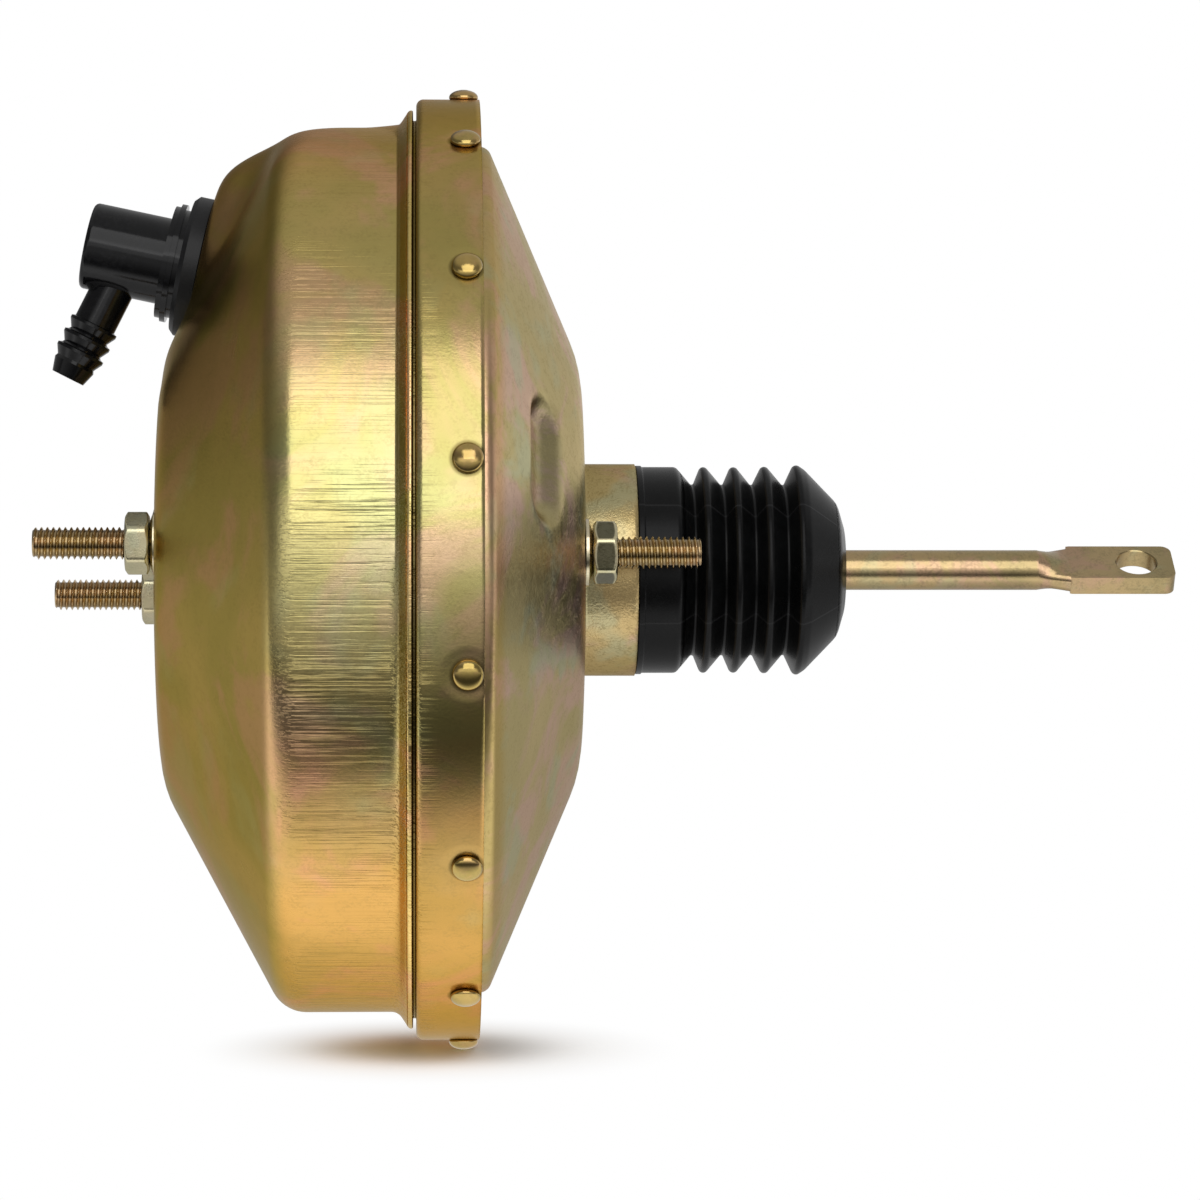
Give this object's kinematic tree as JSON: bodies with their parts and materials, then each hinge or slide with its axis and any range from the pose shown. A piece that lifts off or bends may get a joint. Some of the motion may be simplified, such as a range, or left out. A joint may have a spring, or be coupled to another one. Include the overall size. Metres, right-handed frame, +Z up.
{
  "type": "brake booster",
  "caption": "Vacuum brake booster: two pressed shells, rolling diaphragm piston, rubber dust boot, flat-eye input rod and an elbow check valve.",
  "frame": {"origin": "centre of the rear face that seats on the firewall, on the booster's axis", "axes": "+X along the input rod to the pedal, +Z up, check valve above"},
  "size_m": [0.353, 0.2951, 0.2968],
  "materials": {
    "shell_zinc": "yellow zinc dichromate on pressed steel, iridescent, fine draw lines",
    "rivet_zinc": "polished yellow zinc",
    "stud_zinc": "yellow zinc on rolled thread",
    "nut_zinc": "pale yellow zinc, speckled flats",
    "washer_zinc": "pale yellow zinc",
    "rod_zinc": "yellow zinc, satin",
    "plain_steel": "plain zinc",
    "spring_steel": "oiled spring steel",
    "boot_rubber": "satin black moulded rubber",
    "grommet_rubber": "matte black rubber",
    "seal_rubber": "matte black rubber",
    "valve_black": "gloss black moulded plastic",
    "valve_plastic": "dark phenolic moulding",
    "nylon": "natural nylon",
    "filter_felt": "grey felt"
  },
  "bodies": {
    "housing": {"front_shell": "shell_zinc", "rear_shell": "shell_zinc", "rim_rivets": "rivet_zinc", "front_reinforcement_plate": "plain_steel", "rear_reinforcement_plate": "plain_steel", "master_cylinder_studs": "stud_zinc", "master_cylinder_washers": "washer_zinc", "master_cylinder_nuts": "nut_zinc", "firewall_studs": "stud_zinc", "firewall_washers": "washer_zinc", "firewall_nuts": "nut_zinc", "front_seal": "seal_rubber", "front_seal_retainer": "plain_steel", "hub_seal": "seal_rubber", "hub_bushing": "nylon", "hub_seal_retainer": "plain_steel", "diaphragm": "seal_rubber", "main_return_spring": "spring_steel", "dust_boot": "boot_rubber", "check_valve_grommet": "grommet_rubber"},
    "power_piston": {"valve_body": "valve_plastic", "diaphragm_plate": "plain_steel", "reaction_disc": "seal_rubber", "output_rod": "plain_steel", "output_rod_adjuster": "plain_steel", "output_rod_retainer": "plain_steel", "plunger_key": "plain_steel", "poppet_valve": "seal_rubber", "poppet_retainer": "plain_steel", "poppet_spring": "spring_steel", "valve_return_spring": "spring_steel", "air_filter": "filter_felt", "filter_retainer": "valve_plastic"},
    "air_valve": {"air_valve_plunger": "plain_steel"},
    "pedal_rod": {"input_rod": "rod_zinc"},
    "check_valve": {"check_valve_base": "valve_black", "check_valve_housing": "valve_black", "check_valve_spring": "spring_steel"},
    "check_disc": {"check_valve_disc": "seal_rubber"}
  },
  "joints": [
    {"name": "piston_stroke", "type": "slide", "parent": "housing", "child": "power_piston", "axis": [-1, 0, 0], "range_m": [0, 0.032], "stiffness_N_per_m": 3000, "springref_m": -0.03, "deforming": ["dust_boot", "main_return_spring", "diaphragm"]},
    {"name": "valve_travel", "type": "slide", "parent": "power_piston", "child": "air_valve", "axis": [-1, 0, 0], "range_m": [0, 0.0015], "stiffness_N_per_m": 4000, "springref_m": -0.005, "deforming": ["valve_return_spring", "dust_boot"]},
    {"name": "input_rod_tilt", "type": "hinge", "parent": "air_valve", "child": "pedal_rod", "pos_m": [0.021, 0, 0], "axis": [0, -0.5736, 0.8192], "range_deg": [-3, 3], "stiffness_Nm_per_rad": 14, "deforming": ["valve_return_spring", "dust_boot"]},
    {"name": "check_valve_swivel", "type": "hinge", "parent": "housing", "child": "check_valve", "pos_m": [-0.1183, 0, 0.0937], "axis": [-0.9789, 0, 0.2045], "continuous": true},
    {"name": "check_disc_lift", "type": "slide", "parent": "check_valve", "child": "check_disc", "axis": [-0.9789, 0, 0.2045], "range_m": [0, 0.0015], "stiffness_N_per_m": 200, "springref_m": -0.004, "deforming": ["check_valve_spring"]}
  ]
}
